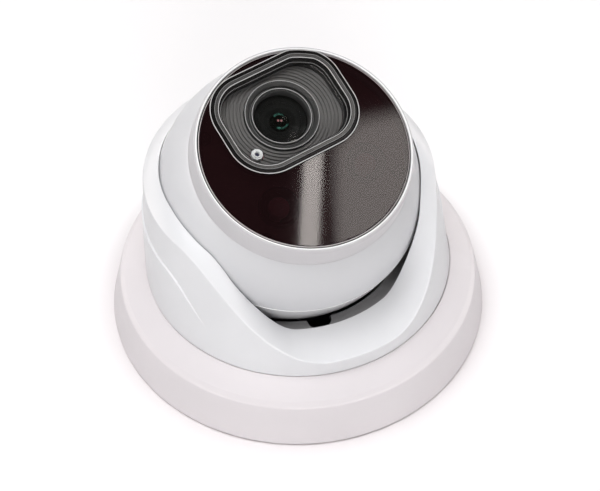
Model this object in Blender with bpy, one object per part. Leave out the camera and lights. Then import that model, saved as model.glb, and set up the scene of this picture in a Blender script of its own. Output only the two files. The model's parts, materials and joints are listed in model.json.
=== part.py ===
"""Turret dome camera on a round mounting base: every piece is its own solid.

Frame: origin at the centre of the base's flat back, +Z away from the wall or ceiling,
-Y towards the low scoop in the collar, which is where the lens leans at rest.
Lengths are written in millimetres and scaled by MM. Three empties carry the moving
groups: the pan axis on the base, the tilt axis through the ball's centre, and the roll
axis along the lens. A fourth marks the lens stack, which sits off the ball's axis.
"""
import math

import bmesh
import bpy
from mathutils import Matrix, Vector

MM = 0.001

# ---------------------------------------------------------------- driving dimensions, mm
GAP = 0.3                      # between pieces that meet
BASE_RADIUS = 75.0             # foot of the mounting base
BASE_EDGE_RADIUS = 70.4        # where the tapered side turns into the sloping top
BASE_EDGE_HEIGHT = 18.7
BASE_HEIGHT = 23.3             # flat ring that the collar turns on
BASE_BORE = 53.9
BASE_WALL = 2.9
PLATE_RADIUS = 71.0
PLATE_THICKNESS = 2.0
BOSS_CIRCLE = 64.3             # screws between the plate and the base
CONDUIT_HEIGHT = 10.6
CONDUIT_RADIUS = 6.2

BALL_RADIUS = 50.85
BALL_OFFSET = 7.5              # the ball sits behind the base's axis
BALL_HEIGHT = 53.8
REST_TILT = 22.3               # degrees from +Z towards -Y
REST_ROLL = 8.5                # degrees about the lens axis
REAR_RADIUS = 49.1
REAR_FLAT = -40.0              # back of the ball, along the lens axis
SHELL_WALL = 2.6
SEAM = 3.75                    # joint of the two half shells, along the lens axis

COLLAR_FOOT_RADIUS = 60.15
COLLAR_WALL = 2.85
COLLAR_FOOT = BASE_HEIGHT + GAP
SHELF_RADIUS = 50.2            # inner edge of the scoop, about the ball's axis
SHELF_HEIGHT = 30.4
LIP_HEIGHT = 30.2              # outer edge of the scoop
BORE_RADIUS = 51.75            # sphere that the collar keeps clear round the ball
RIM_HEIGHT = 69.0              # inner edge of the collar round the sides and back
BAND_HEIGHT = 64.5             # outer edge of the bright band below it
BAND_RADIUS = 55.4
SEAT_TOP = 26.6
SEAT_BORE = 43.6
NOTCH_WIDTH = 9.6
NOTCH_ANGLE = -9.5             # degrees from the front
SLEEVE_RADIUS = 53.6
SLEEVE_BORE = 52.0

BEZEL_BACK = 29.6
BEZEL_FRONT = 40.3
BEZEL_BORE = 39.3
WINDOW_RADIUS = 38.45
WINDOW_BACK = 37.6
WINDOW_FRONT = 40.0
FRAME_SIZE = (50.4, 39.4)      # raised frame on the window, round the lens
FRAME_CORNER = 15.6
FRAME_WIDTH = 3.6
FRAME_FRONT = 40.6
PANE_FRONT = 38.4              # clear pane inside the frame
FACE_BACK = 31.6
FACE_FRONT = 33.2
FACE_RADIUS = 38.3
FACE_SCREWS = (28.7, 22.4)     # distance from the middle, sideways and along

LENS_X = 0.7
LENS_Y = 16.1
LENS_RADIUS = 9.9
LENS_RING_RADIUS = 14.0
SHROUD_SIZE = (50.8, 39.8)
SHROUD_CORNER = 15.5
SHROUD_WALL = 3.4
SENSOR_X = -16.2               # light sensor, from the lens
SENSOR_Y = -9.2
LED_X = 18.7
LED_Y = -14.2
LED_CUP_RADIUS = 7.3
SCREW_X = -18.0                # focus lead screw, from the lens

SINK_HALF_WIDTH = 13.0
FIN_COUNT = 7
FIN_WIDTH = 1.4

PIN_RADIUS = 2.3
COLLAR_STEPS = 72
COARSE = 16
MEDIUM = 40
FINE = 64


# ---------------------------------------------------------------- tools
def clear_scene():
    for obj in list(bpy.data.objects):
        bpy.data.objects.remove(obj)


def look(name, colour, roughness, metallic=0.0, alpha=1.0):
    mat = bpy.data.materials.new(name)
    mat.use_nodes = True
    shader = mat.node_tree.nodes["Principled BSDF"]
    shader.inputs["Base Color"].default_value = (*colour, 1.0)
    shader.inputs["Roughness"].default_value = roughness
    shader.inputs["Metallic"].default_value = metallic
    shader.inputs["Alpha"].default_value = alpha
    return mat


def empty(name, parent=None, place=(0.0, 0.0, 0.0), turn=(0.0, 0.0, 0.0)):
    obj = bpy.data.objects.new(name, None)
    bpy.context.collection.objects.link(obj)
    obj.parent = parent
    obj.location = Vector(place) * MM
    obj.rotation_euler = [math.radians(angle) for angle in turn]
    return obj


def add_part(name, bm, mat, parent=None, place=(0.0, 0.0, 0.0), matrix=None):
    """Turn a bmesh drawn in millimetres into one named object."""
    if matrix is not None:
        bm.transform(matrix)
    bm.transform(Matrix.Scale(MM, 4))
    bmesh.ops.remove_doubles(bm, verts=bm.verts, dist=1e-6)
    bmesh.ops.recalc_face_normals(bm, faces=bm.faces)
    mesh = bpy.data.meshes.new(name)
    bm.to_mesh(mesh)
    bm.free()
    mesh.shade_smooth()
    mesh.set_sharp_from_angle(angle=math.radians(35))
    mesh.materials.append(mat)
    obj = bpy.data.objects.new(name, mesh)
    bpy.context.collection.objects.link(obj)
    obj.parent = parent
    obj.location = Vector(place) * MM
    return obj


def cut(target, bm, parent=None, place=(0.0, 0.0, 0.0), matrix=None, operation="DIFFERENCE"):
    """Cut a bmesh out of a part, or join it on, with a Boolean modifier."""
    name = f"{target.name}_cutter_{len(target.modifiers)}"
    tool = add_part(name, bm, target.data.materials[0], parent, place, matrix)
    tool.hide_render = True
    tool.display_type = "WIRE"
    modifier = target.modifiers.new(name, "BOOLEAN")
    modifier.operation = operation
    modifier.solver = "EXACT"
    modifier.object = tool


def lathe(profile, segments=MEDIUM):
    """Turn a profile of (radius, height) points about Z; ends on the axis stay open."""
    bm = bmesh.new()
    verts = [bm.verts.new((radius, 0.0, height)) for radius, height in profile]
    edges = [bm.edges.new(pair) for pair in zip(verts, verts[1:])]
    if profile[0][0] > 0.0:
        edges.append(bm.edges.new((verts[-1], verts[0])))
    bmesh.ops.spin(bm, geom=verts + edges, cent=(0, 0, 0), axis=(0, 0, 1),
                   angle=2 * math.pi, steps=segments, use_merge=True)
    bmesh.ops.remove_doubles(bm, verts=bm.verts, dist=1e-4)
    return bm


def rod(radius, low, high, segments=COARSE):
    return lathe([(0.0, low), (radius, low), (radius, high), (0.0, high)], segments)


def ring(inner, outer, low, high, segments=MEDIUM):
    return lathe([(inner, low), (outer, low), (outer, high), (inner, high)], segments)


def prism(outline, low, high):
    """Extrude a closed outline of (x, y) points between two heights."""
    bm = bmesh.new()
    face = bm.faces.new([bm.verts.new((x, y, low)) for x, y in outline])
    swept = bmesh.ops.extrude_face_region(bm, geom=[face])
    top = [item for item in swept["geom"] if isinstance(item, bmesh.types.BMVert)]
    bmesh.ops.translate(bm, verts=top, vec=(0, 0, high - low))
    return bm


def block(low, high):
    return prism([(low[0], low[1]), (high[0], low[1]), (high[0], high[1]), (low[0], high[1])],
                 low[2], high[2])


def arc(centre, radius, start, end, steps):
    """Points (along, up) on an arc, angles in degrees from the first axis."""
    angles = [math.radians(start + (end - start) * i / steps) for i in range(steps + 1)]
    return [(centre[0] + radius * math.cos(a), centre[1] + radius * math.sin(a)) for a in angles]


def rounded_outline(width, depth, corner, steps=6):
    x, y = width / 2 - corner, depth / 2 - corner
    outline = []
    for quarter, (sx, sy) in enumerate(((1, 1), (-1, 1), (-1, -1), (1, -1))):
        outline += arc((sx * x, sy * y), corner, 90 * quarter, 90 * quarter + 90, steps)
    return outline


def slot_outline(length, width, steps=6):
    reach = length / 2 - width / 2
    return arc((reach, 0), width / 2, -90, 90, steps) + arc((-reach, 0), width / 2, 90, 270, steps)


def sphere_radius(radius, height):
    """Distance from the axis to a sphere at a height from its centre."""
    return math.sqrt(radius * radius - height * height)


def smoothstep(low, high, value):
    t = min(max((value - low) / (high - low), 0.0), 1.0)
    return t * t * (3 - 2 * t)


def blend(a, b, t):
    return a + (b - a) * t


def along_y(height):
    """Matrix that lays a turned piece along +Y at a height."""
    return Matrix.Translation((0, 0, height)) @ Matrix.Rotation(math.radians(-90), 4, "X")


def along_x(side):
    """Matrix that lays a turned piece along +X or -X."""
    return Matrix.Rotation(math.radians(90 * side), 4, "Y")


def around(count, radius, start):
    angles = [math.radians(start + 360 * i / count) for i in range(count)]
    return [(radius * math.cos(a), radius * math.sin(a)) for a in angles]


# ---------------------------------------------------------------- mounting base
def screw(name, mat, parent, place, head_radius, head, shank_radius, tip):
    """Pan head between the two heights of head, shank on to tip."""
    profile = [(0.0, head[0]), (head_radius, head[0]), (head_radius, head[1]),
               (shank_radius, head[1]), (shank_radius, tip), (0.0, tip)]
    return add_part(name, lathe(profile, COARSE), mat, parent, place)


def build_base(looks):
    inner_edge = BASE_EDGE_RADIUS - BASE_WALL
    underside = BASE_HEIGHT - 3.0
    profile = [(BASE_RADIUS - 0.6, 0.0), (BASE_RADIUS, 0.8),
               (BASE_EDGE_RADIUS + 0.5, BASE_EDGE_HEIGHT - 1.1),
               (BASE_EDGE_RADIUS - 0.3, BASE_EDGE_HEIGHT + 0.1),
               (COLLAR_FOOT_RADIUS, BASE_HEIGHT), (BASE_BORE, BASE_HEIGHT),
               (BASE_BORE, underside), (COLLAR_FOOT_RADIUS - 1.6, underside),
               (inner_edge, BASE_EDGE_HEIGHT - 2.1), (BASE_RADIUS - BASE_WALL, 0.0)]
    base = add_part("mounting_base", lathe(profile, FINE), looks["pink_white"])
    spots = around(3, BOSS_CIRCLE, 30)
    for x, y in spots:
        cut(base, rod(2.9, PLATE_THICKNESS + 0.4, 18.6), place=(x, y, 0), operation="UNION")
    for x, y in spots:
        cut(base, rod(1.35, PLATE_THICKNESS, 12.0), place=(x, y, 0))
    cut(base, rod(CONDUIT_RADIUS, 60.0, 80.0), matrix=along_y(CONDUIT_HEIGHT))
    for index, (x, y) in enumerate(spots, 1):
        screw(f"base_screw_{index}", looks["steel"], None, (x, y, 0), 2.8, (0.1, 1.0), 1.05, 10.0)
    plug = [(0.0, 62.0), (7.2, 62.0), (7.2, 63.5), (CONDUIT_RADIUS - GAP, 63.5),
            (CONDUIT_RADIUS - GAP, 71.7), (0.0, 71.7)]
    add_part("conduit_plug", lathe(plug, COARSE), looks["pink_white"], matrix=along_y(CONDUIT_HEIGHT))
    add_part("base_gasket", ring(69.0, 70.6, PLATE_THICKNESS + GAP, PLATE_THICKNESS + 1.8),
             looks["rubber"])
    return spots


def build_back_plate(looks, spots):
    plate = add_part("back_plate", ring(12.0, PLATE_RADIUS, 0.0, PLATE_THICKNESS), looks["steel"])
    for x, y in spots:
        step = [(0.0, -1.0), (3.1, -1.0), (3.1, 1.3), (1.4, 1.3), (1.4, 3.0), (0.0, 3.0)]
        cut(plate, lathe(step, COARSE), place=(x, y, 0))
    for index in range(3):
        turn = Matrix.Rotation(math.radians(90 + 120 * index), 4, "Z")
        cut(plate, prism(slot_outline(12.0, 5.0), -1.0, 3.0), matrix=turn @ Matrix.Translation((45, 0, 0)))


# ---------------------------------------------------------------- collar, turns on the base
def foot_distance(angle, radius):
    """From the ball's axis to a circle about the base's axis, along a compass angle."""
    return BALL_OFFSET * math.cos(angle) + math.sqrt(radius ** 2 - (BALL_OFFSET * math.sin(angle)) ** 2)


def bore_at(height):
    """Collar's inner radius about the ball's axis."""
    if height > BALL_HEIGHT:
        return sphere_radius(BORE_RADIUS, height - BALL_HEIGHT)
    rise = (height - SEAT_TOP - GAP) / (BALL_HEIGHT - SEAT_TOP - GAP)
    return blend(SHELF_RADIUS, BORE_RADIUS, smoothstep(0.0, 1.0, rise))


def collar_section(degrees):
    """Closed section of the collar, (distance from the ball's axis, height)."""
    angle = math.radians(degrees)
    sideways = min(degrees, 360 - degrees)
    rim_rise = blend(smoothstep(21, 60, sideways), smoothstep(21, 90, sideways), 0.29)
    band_rise = smoothstep(11, 72, sideways)
    foot = foot_distance(angle, COLLAR_FOOT_RADIUS)
    foot_inside = foot_distance(angle, COLLAR_FOOT_RADIUS - COLLAR_WALL)
    rim = blend(SHELF_HEIGHT, RIM_HEIGHT, rim_rise)
    band = blend(LIP_HEIGHT, BAND_HEIGHT, band_rise)
    band_radius = blend(foot, BAND_RADIUS, band_rise)
    bulge = 2.4 * smoothstep(80, 180, sideways)
    section = [(foot_inside, COLLAR_FOOT), (foot, COLLAR_FOOT)]
    for step in (0.35, 0.7):
        swell = bulge * math.sin(math.pi * step)
        section.append((blend(foot, band_radius, step) + swell, blend(COLLAR_FOOT, band, step)))
    section.append((band_radius, band))
    section.append((blend(band_radius, bore_at(rim), 0.6), blend(band, rim, 0.72)))
    section.append((bore_at(rim), rim))
    floor = SEAT_TOP + GAP
    for step in (0.33, 0.66, 1.0):
        height = blend(rim, floor, step)
        section.append((bore_at(height), height))
    section.append((foot_inside, floor + 0.01))
    return section


def build_collar(looks, pan):
    bm = bmesh.new()
    loops = []
    for index in range(COLLAR_STEPS):
        degrees = 360 * index / COLLAR_STEPS
        angle = math.radians(degrees)
        loops.append([bm.verts.new((radius * math.sin(angle), BALL_OFFSET - radius * math.cos(angle), height))
                      for radius, height in collar_section(degrees)])
    for here, there in zip(loops, loops[1:] + loops[:1]):
        for i in range(len(here)):
            j = (i + 1) % len(here)
            bm.faces.new((here[i], here[j], there[j], there[i]))
    collar = add_part("trim_collar", bm, looks["white"], pan)
    for side in (-1, 1):
        place = (0, BALL_OFFSET, BALL_HEIGHT)
        cut(collar, rod(PIN_RADIUS + GAP, 45.0, 54.5), pan, place, along_x(side))


def build_seat(looks, pan):
    """Ring under the ball, with the sleeve that turns in the base."""
    profile = [(34.0, SEAT_TOP), (57.0, SEAT_TOP), (57.0, COLLAR_FOOT), (SLEEVE_RADIUS, COLLAR_FOOT),
               (SLEEVE_RADIUS, 17.3), (55.2, 17.3), (55.2, 15.6), (SLEEVE_BORE, 15.6),
               (SLEEVE_BORE, COLLAR_FOOT), (34.0, COLLAR_FOOT)]
    seat = add_part("seat_ring", lathe(profile), looks["grey"], pan)
    cut(seat, rod(SEAT_BORE, 20.0, 30.0, MEDIUM), pan, (0, BALL_OFFSET, 0))
    half = NOTCH_WIDTH / 2
    notch = [(30.0, -half), (SEAT_BORE, -half)] + arc((SEAT_BORE, 0), half, -60, 60, 6)
    notch += [(SEAT_BORE, half), (30.0, half)]
    turn = Matrix.Rotation(math.radians(NOTCH_ANGLE - 90), 4, "Z")
    cut(seat, prism(notch, 22.0, 30.0), pan, (0, BALL_OFFSET, 0), turn)
    add_part("pan_snap_ring", ring(SLEEVE_RADIUS + GAP, 57.2, 17.6, 20.0), looks["steel"], pan)


# ---------------------------------------------------------------- rear half of the ball
def build_rear(looks, tilt):
    inner = REAR_RADIUS - SHELL_WALL
    mouth = SEAM - 0.35
    start = math.degrees(math.asin(mouth / REAR_RADIUS))
    end = math.degrees(math.asin(REAR_FLAT / REAR_RADIUS))
    inside_start = math.degrees(math.asin(mouth / inner))
    inside_end = math.degrees(math.asin((REAR_FLAT + SHELL_WALL) / inner))
    profile = arc((0, 0), REAR_RADIUS, start, end, 7) + [(5.3, REAR_FLAT), (5.3, REAR_FLAT + SHELL_WALL)]
    profile += arc((0, 0), inner, inside_end, inside_start, 5)
    shell = add_part("rear_shell", lathe(profile), looks["rear_white"], tilt)
    for side, word in ((-1, "left"), (1, "right")):
        cut(shell, rod(PIN_RADIUS + GAP, 44.0, 52.0), tilt, matrix=along_x(side))
        add_part(f"trunnion_pin_{word}", rod(PIN_RADIUS, 46.0, 54.2), looks["steel"], tilt,
                 matrix=along_x(side))
        add_part(f"tilt_washer_{word}", ring(PIN_RADIUS + GAP, 3.3, 49.6, 51.1, COARSE),
                 looks["nylon"], tilt, matrix=along_x(side))
    guide = [(43.6, -4.0), (45.5, -4.0), (45.5, 3.2), (46.2, 3.2), (46.2, 9.0), (43.6, 9.0)]
    add_part("roll_ring", lathe(guide), looks["nylon"], tilt)
    gland = [(0.0, -43.0), (2.6, -43.0), (2.6, -46.2), (6.3, -46.2), (7.0, -44.6),
             (7.0, REAR_FLAT - GAP), (5.0, REAR_FLAT - GAP), (5.0, REAR_FLAT + SHELL_WALL + GAP),
             (7.2, REAR_FLAT + SHELL_WALL + GAP), (7.2, -35.2), (0.0, -35.2)]
    add_part("cable_gland", lathe(gland, COARSE), looks["rubber"], tilt)


# ---------------------------------------------------------------- front half of the ball
def build_front_shell(looks, roll):
    inner = BALL_RADIUS - SHELL_WALL
    front = BEZEL_BACK - GAP
    start = math.degrees(math.asin(SEAM / BALL_RADIUS))
    end = math.degrees(math.asin(front / BALL_RADIUS))
    inside_start = math.degrees(math.asin(SEAM / inner))
    inside_end = math.degrees(math.asin(front / inner))
    profile = arc((0, 0), BALL_RADIUS, start, end, 6) + arc((0, 0), inner, inside_end, inside_start, 4)
    shell = add_part("front_shell", lathe(profile), looks["white"], roll)
    for x, y in face_screw_spots():
        cut(shell, rod(2.5, 22.5, FACE_BACK - GAP), roll, (x, y, 0), operation="UNION")
    for x, y in face_screw_spots():
        cut(shell, rod(1.4, 24.5, FACE_BACK + 1), roll, (x, y, 0))
    add_part("seam_seal", ring(46.6, 47.6, SEAM + 0.6, SEAM + 2.2), looks["rubber"], roll)


def face_screw_spots():
    return [(x, y) for x in (-FACE_SCREWS[0], FACE_SCREWS[0]) for y in (-FACE_SCREWS[1], FACE_SCREWS[1])]


def build_bezel(looks, roll):
    bezel = [(BEZEL_BORE, BEZEL_BACK), (41.35, BEZEL_BACK), (40.6, BEZEL_FRONT - 1.2),
             (40.1, BEZEL_FRONT - 0.1), (39.8, BEZEL_FRONT), (BEZEL_BORE, BEZEL_FRONT)]
    add_part("bezel_ring", lathe(bezel, FINE), looks["bezel"], roll)
    chamfer = 0.4
    window = [(0.0, WINDOW_BACK), (WINDOW_RADIUS, WINDOW_BACK), (WINDOW_RADIUS, WINDOW_FRONT - chamfer),
              (WINDOW_RADIUS - chamfer, WINDOW_FRONT), (0.0, WINDOW_FRONT)]
    cover = add_part("window", lathe(window, FINE), looks["window"], roll)
    add_frame(cover, roll)
    add_part("window_gasket", ring(WINDOW_RADIUS + 0.2, BEZEL_BORE - 0.2, WINDOW_BACK - 0.4,
                                   WINDOW_FRONT - 0.4, FINE), looks["rubber"], roll)


def add_frame(cover, roll):
    """Raised frame round the lens, moulded with the window, and the thinner clear pane inside it."""
    place = (LENS_X, LENS_Y, 0)
    cut(cover, prism(rounded_outline(*FRAME_SIZE, FRAME_CORNER), WINDOW_FRONT - 1.0, FRAME_FRONT), roll,
        place, operation="UNION")
    inside = [size - 2 * FRAME_WIDTH for size in FRAME_SIZE]
    cut(cover, prism(rounded_outline(*inside, FRAME_CORNER - FRAME_WIDTH), PANE_FRONT, FRAME_FRONT + 1.0),
        roll, place)


def build_face(looks, roll):
    """Dark plate behind the window, its screws, the lamps and their board."""
    face = add_part("face_plate", rod(FACE_RADIUS, FACE_BACK, FACE_FRONT, FINE), looks["face"], roll)
    cut(face, rod(LENS_RING_RADIUS + GAP, 30.0, 35.0, MEDIUM), roll, (LENS_X, LENS_Y, 0))
    for side in (-1, 1):
        cut(face, rod(LED_CUP_RADIUS + GAP, 30.0, 35.0), roll, (side * LED_X, LED_Y, 0))
    for index, (x, y) in enumerate(face_screw_spots(), 1):
        cut(face, rod(1.5, 30.0, 35.0), roll, (x, y, 0))
        screw(f"face_screw_{index}", looks["dark_steel"], roll, (x, y, 0), 2.3,
              (35.0, FACE_FRONT + GAP), 1.1, 25.5)
    board = arc((0, 0), 33.4, 190, 350, 20)
    add_part("led_board", prism(board, 22.9, 24.5), looks["board"], roll)
    for side, word in ((-1, "left"), (1, "right")):
        place = (side * LED_X, LED_Y, 0)
        lamp = [(0.0, 24.8), (2.4, 24.8), (2.4, 26.2)] + arc((0, 26.2), 2.2, 0, 90, 4)[:-1] + [(0.0, 28.4)]
        add_part(f"ir_led_{word}", lathe(lamp, COARSE), looks["lamp"], roll, place)
        cup = [(3.0, 24.8), (4.2, 24.8), (LED_CUP_RADIUS, 31.0), (LED_CUP_RADIUS, 33.0), (6.5, 33.0)]
        add_part(f"led_cup_{word}", lathe(cup, COARSE), looks["reflector"], roll, place)


def build_shroud(looks, lens):
    width, depth = SHROUD_SIZE
    base = FACE_FRONT + GAP
    top = WINDOW_BACK - GAP
    shroud = add_part("lens_shroud", prism(rounded_outline(width, depth, SHROUD_CORNER), base, top),
                      looks["gloss_black"], lens)
    inside = [size - 2 * SHROUD_WALL for size in SHROUD_SIZE]
    corner = SHROUD_CORNER - SHROUD_WALL
    cut(shroud, prism(rounded_outline(*inside, corner), base - 1, top + 1), lens)
    outline = rounded_outline(inside[0] - 2 * GAP, inside[1] - 2 * GAP, corner - GAP)
    baffle = add_part("lens_baffle", prism(outline, base, base + 1.5), looks["matt_black"], lens)
    cut(baffle, rod(LENS_RING_RADIUS + GAP, base - 1, base + 3, MEDIUM), lens)
    cut(baffle, rod(2.7, base - 1, base + 3), lens, (SENSOR_X, SENSOR_Y, 0))
    sensor = [(0.0, base), (2.4, base), (2.4, base + 1.8), (1.6, base + 2.5), (0.0, base + 2.7)]
    add_part("light_sensor", lathe(sensor, COARSE), looks["clear"], lens, (SENSOR_X, SENSOR_Y, 0))


# ---------------------------------------------------------------- lens stack
def build_lens(looks, lens):
    hood = [(10.2, 24.0), (LENS_RING_RADIUS, 24.0), (LENS_RING_RADIUS, 35.6), (13.3, 36.3),
            (11.6, 36.3), (10.2, 35.0)]
    add_part("lens_ring", lathe(hood), looks["matt_black"], lens)
    bulge = arc((0, 14.4), 20.0, 61, 90, 5)
    front = [(0.0, 29.5), (LENS_RADIUS, 29.5)] + bulge[:-1] + [(0.0, 34.4)]
    add_part("front_lens", lathe(front), looks["glass"], lens)
    barrel = add_part("lens_barrel", ring(9.6, 12.6, 3.0, 23.7), looks["matt_black"], lens)
    cut(barrel, block((-14.0, -2.5, 8.5), (-8.0, 2.5, 21.5)), lens)
    rear = [(0.0, 3.6), (9.3, 3.9), (9.3, 5.4), (0.0, 6.6)]
    add_part("rear_lens", lathe(rear, COARSE), looks["glass"], lens)
    mount = add_part("lens_mount", block((-13.0, -13.0, -7.7), (13.0, 13.0, 2.7)), looks["matt_black"], lens)
    cut(mount, rod(7.5, -9.0, 4.0), lens)
    cut(mount, block((-20.0, -6.0, -3.3), (20.0, 6.0, -1.3)), lens)
    frame = add_part("inner_frame", rod(43.0, 18.0, 19.6, MEDIUM), looks["alloy"], lens.parent)
    cut(frame, rod(13.0, 17.0, 21.0), lens)
    cut(frame, block((SCREW_X - 4.5, -4.0, 17.0), (-8.0, 4.0, 21.0)), lens)


def build_focus(looks, lens):
    """Focus cell that slides in the barrel, driven by a lead screw beside it."""
    cell = add_part("focus_cell", ring(6.0, 9.2, 12.5, 16.5, COARSE), looks["nylon"], lens)
    cut(cell, block((SCREW_X - 2.5, -2.0, 13.0), (-8.0, 2.0, 16.0)), lens, operation="UNION")
    cut(cell, rod(1.2, 10.0, 20.0), lens, (SCREW_X, 0, 0))
    glass = [(0.0, 13.0), (5.7, 13.6), (5.7, 15.2), (0.0, 15.9)]
    add_part("focus_lens", lathe(glass, COARSE), looks["glass"], lens)
    add_part("focus_screw", rod(0.9, 9.3, 22.3), looks["steel"], lens, (SCREW_X, 0, 0))
    add_part("focus_motor", rod(4.0, 1.5, 9.0), looks["alloy"], lens, (SCREW_X, 0, 0))


def build_filter(looks, lens):
    """Infrared filter slide with its coil; it crosses the mount in a slot."""
    add_part("ircut_filter", block((-16.0, -5.5, -2.9), (8.0, 5.5, -1.7)), looks["filter"], lens)
    add_part("ircut_coil", block((-5.0, -21.0, -7.7), (5.0, -14.5, -2.0)), looks["copper"], lens)


def build_boards(looks, roll, lens):
    add_part("image_sensor", block((-4.0, -3.0, -7.7), (4.0, 3.0, -6.3)), looks["sensor"], lens)
    add_part("sensor_board", block((-17.5, -17.5, -9.6), (17.5, 17.5, -8.0)), looks["board"], lens)
    for index, (x, y) in enumerate([(x, y) for x in (-15, 15) for y in (-13, 13)], 1):
        add_part(f"board_post_{index}", rod(1.6, -16.1, -9.9, 12), looks["steel"], lens, (x, y, 0))
    add_part("main_board", rod(38.0, -18.0, -16.4, MEDIUM), looks["board"], roll)
    add_part("processor", block((-8.0, -20.0, -20.0), (8.0, -4.0, -18.3)), looks["matt_black"], roll)
    add_part("cable_connector", block((-6.0, 8.0, -24.0), (6.0, 14.0, -18.3)), looks["nylon"], roll)
    stand = Matrix(((1, 0, 0, 0), (0, 0, 1, 0), (0, 1, 0, 0), (0, 0, 0, 1)))
    add_part("heat_sink", prism(comb_outline(), -23.0, -1.0), looks["alloy"], roll, matrix=stand)


def comb_outline():
    """Heat sink seen end on: a plate with fins hanging from it, (across, up)."""
    plate_top, plate_bottom, tips = -20.3, -22.4, -29.0
    pitch = (2 * SINK_HALF_WIDTH - FIN_WIDTH) / (FIN_COUNT - 1)
    comb = [(-SINK_HALF_WIDTH, plate_top), (SINK_HALF_WIDTH, plate_top)]
    for index in range(FIN_COUNT):
        outer = SINK_HALF_WIDTH - index * pitch
        inner = outer - FIN_WIDTH
        if index > 0:
            comb.append((outer, plate_bottom))
        comb += [(outer, tips), (inner, tips)]
        if index < FIN_COUNT - 1:
            comb.append((inner, plate_bottom))
    return comb


# ---------------------------------------------------------------- assembly
def make_looks():
    return {
        "pink_white": look("pink_white", (0.83, 0.79, 0.80), 0.45),
        "white": look("white", (0.80, 0.80, 0.81), 0.4),
        "rear_white": look("rear_white", (0.62, 0.62, 0.63), 0.5),
        "grey": look("grey", (0.45, 0.45, 0.46), 0.5),
        "bezel": look("bezel", (0.74, 0.74, 0.75), 0.35),
        "rubber": look("rubber", (0.02, 0.02, 0.02), 0.8),
        "nylon": look("nylon", (0.75, 0.74, 0.70), 0.6),
        "steel": look("steel", (0.60, 0.60, 0.60), 0.35, 1.0),
        "dark_steel": look("dark_steel", (0.10, 0.09, 0.09), 0.4, 1.0),
        "alloy": look("alloy", (0.70, 0.70, 0.72), 0.4, 1.0),
        "copper": look("copper", (0.72, 0.36, 0.20), 0.4, 1.0),
        "window": look("window", (0.05, 0.015, 0.018), 0.05, 0.0, 0.4),
        "face": look("face", (0.03, 0.01, 0.012), 0.4),
        "gloss_black": look("gloss_black", (0.02, 0.02, 0.02), 0.15),
        "matt_black": look("matt_black", (0.03, 0.03, 0.03), 0.5),
        "glass": look("glass", (0.08, 0.10, 0.09), 0.03, 0.0, 0.5),
        "clear": look("clear", (0.85, 0.85, 0.85), 0.1),
        "lamp": look("lamp", (0.30, 0.04, 0.05), 0.2),
        "reflector": look("reflector", (0.16, 0.08, 0.08), 0.25, 1.0),
        "board": look("board", (0.02, 0.12, 0.06), 0.5),
        "sensor": look("sensor", (0.05, 0.05, 0.09), 0.2),
        "filter": look("filter", (0.15, 0.30, 0.35), 0.1),
    }


def main():
    clear_scene()
    looks = make_looks()
    pan = empty("pan_axis")
    tilt = empty("tilt_axis", pan, (0, BALL_OFFSET, BALL_HEIGHT), (REST_TILT, 0, 0))
    roll = empty("roll_axis", tilt, turn=(0, 0, REST_ROLL))
    lens = empty("lens_axis", roll, (LENS_X, LENS_Y, 0))
    spots = build_base(looks)
    build_back_plate(looks, spots)
    build_collar(looks, pan)
    build_seat(looks, pan)
    build_rear(looks, tilt)
    build_front_shell(looks, roll)
    build_bezel(looks, roll)
    build_face(looks, roll)
    build_shroud(looks, lens)
    build_lens(looks, lens)
    build_focus(looks, lens)
    build_filter(looks, lens)
    build_boards(looks, roll, lens)


main()
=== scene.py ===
"""Looks for the turret camera: fine pieces, materials, floor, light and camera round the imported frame."""

import json
import math

import bmesh
import bpy
from mathutils import Matrix, Vector


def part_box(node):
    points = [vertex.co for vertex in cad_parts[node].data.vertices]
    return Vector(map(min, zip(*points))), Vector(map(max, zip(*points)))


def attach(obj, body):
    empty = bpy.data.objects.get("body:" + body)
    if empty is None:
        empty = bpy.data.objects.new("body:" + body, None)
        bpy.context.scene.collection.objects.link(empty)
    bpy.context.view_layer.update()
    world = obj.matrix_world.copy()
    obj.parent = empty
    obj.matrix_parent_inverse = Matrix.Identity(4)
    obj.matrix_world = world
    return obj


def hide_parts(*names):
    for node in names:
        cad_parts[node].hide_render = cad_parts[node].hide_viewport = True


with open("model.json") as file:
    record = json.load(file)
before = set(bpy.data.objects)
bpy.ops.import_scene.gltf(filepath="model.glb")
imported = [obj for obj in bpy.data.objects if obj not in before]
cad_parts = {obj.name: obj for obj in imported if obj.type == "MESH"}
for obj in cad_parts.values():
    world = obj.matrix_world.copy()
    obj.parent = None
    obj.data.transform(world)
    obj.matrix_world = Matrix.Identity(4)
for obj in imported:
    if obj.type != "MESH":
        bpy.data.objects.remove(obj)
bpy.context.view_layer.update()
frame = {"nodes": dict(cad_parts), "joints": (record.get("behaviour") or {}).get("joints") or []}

MM = 0.001
GAP = 0.3                      # mm between pieces that meet
STEPS = 192                    # round a large turned piece
LENS_STEPS = 128
SMALL_STEPS = 64
ON_AXIS = 1e-6                 # a smaller radius is a point on the axis


def shift(x, y, z=0.0):
    return Matrix.Translation((x, y, z))


def swing(degrees, axis):
    return Matrix.Rotation(math.radians(degrees), 4, axis)


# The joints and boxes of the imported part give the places; lengths below are in millimetres.
tilt_joint = next(j for j in frame["joints"] if j["name"] == "tilt")
BALL = Vector(tilt_joint["pos_m"]) / MM
BALL_OFFSET, BALL_HEIGHT = BALL.y, BALL.z
BASE_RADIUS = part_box("mounting_base")[1].x / MM
BASE_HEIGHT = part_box("mounting_base")[1].z / MM
REST_TILT, REST_ROLL = 22.3, 8.5
LENS_X, LENS_Y = 0.7, 16.1
TILT = shift(*BALL) @ swing(REST_TILT, "X")
ROLL = TILT @ swing(REST_ROLL, "Z")
LENS = ROLL @ shift(LENS_X, LENS_Y)

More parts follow.
